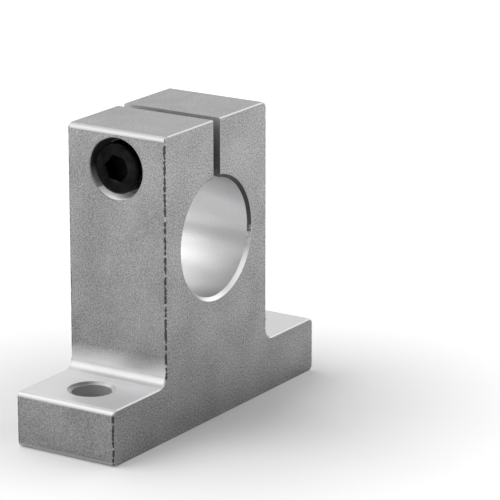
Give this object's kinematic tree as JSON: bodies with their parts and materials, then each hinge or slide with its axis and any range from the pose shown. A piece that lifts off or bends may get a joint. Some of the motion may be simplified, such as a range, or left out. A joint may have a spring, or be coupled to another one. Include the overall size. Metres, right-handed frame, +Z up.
{
  "type": "shaft support block",
  "caption": "Upright shaft support: an inverted-T block with a clamping bore, slit from the top and closed by a sunk socket head screw, on feet drilled for mounting bolts.",
  "frame": {"origin": "centre of the underside, below the shaft's axis and at half the block's depth", "axes": "+X across the feet, away from the side that the screw's head is in; +Y along the shaft; +Z up"},
  "size_m": [0.06, 0.019, 0.051],
  "materials": {
    "anodised_aluminium": "fine blasted, clear anodised",
    "black_oxide_steel": "black oxide, lightly oiled"
  },
  "bodies": {
    "block": {"support_block": "anodised_aluminium"},
    "screw": {"clamp_screw": "black_oxide_steel"}
  },
  "joints": [
    {"name": "clamp_screw_turn", "type": "hinge", "parent": "block", "child": "screw", "pos_m": [0, 0, 0.0446], "axis": [-1, 0, 0], "range_deg": [0, 450]}
  ]
}
